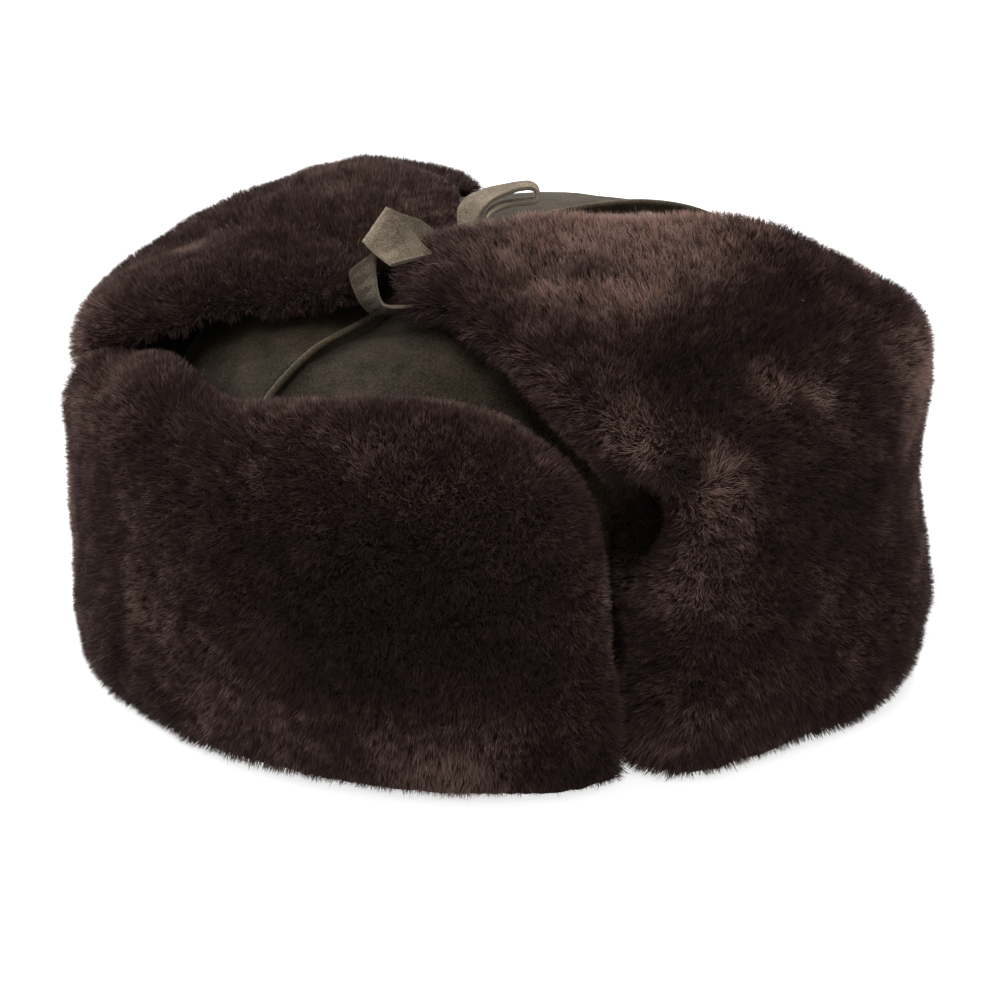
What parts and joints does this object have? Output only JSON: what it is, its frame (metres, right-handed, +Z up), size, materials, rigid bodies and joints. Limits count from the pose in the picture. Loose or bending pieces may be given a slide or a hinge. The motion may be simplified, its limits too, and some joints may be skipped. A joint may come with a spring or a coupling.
{
  "type": "fur hat",
  "caption": "Sheepskin hat with its ear flaps turned up and tied over a suede crown, a fur front flap and a fur neck flap standing against the crown.",
  "frame": {"origin": "centre of the hat's bounding box in plan, on the floor it stands on", "axes": "+Z up; the front of the hat faces -Y; the wearer's left is +X"},
  "size_m": [0.2546, 0.2616, 0.1389],
  "materials": {
    "fur": "short dense sheared fur, matt with a soft sheen at its edges",
    "crown_suede": "matt suede",
    "tie_suede": "matt suede, paler than the crown"
  },
  "bodies": {
    "root": {"front_flap": "fur", "ear_flap_left": "fur", "ear_flap_right": "fur", "neck_flap": "fur", "crown_left": "crown_suede", "crown_right": "crown_suede", "crown_welt": "crown_suede", "tie_left": "tie_suede", "tie_right": "tie_suede", "tie_bow": "tie_suede", "tie_knot": "tie_suede"}
  },
  "joints": []
}
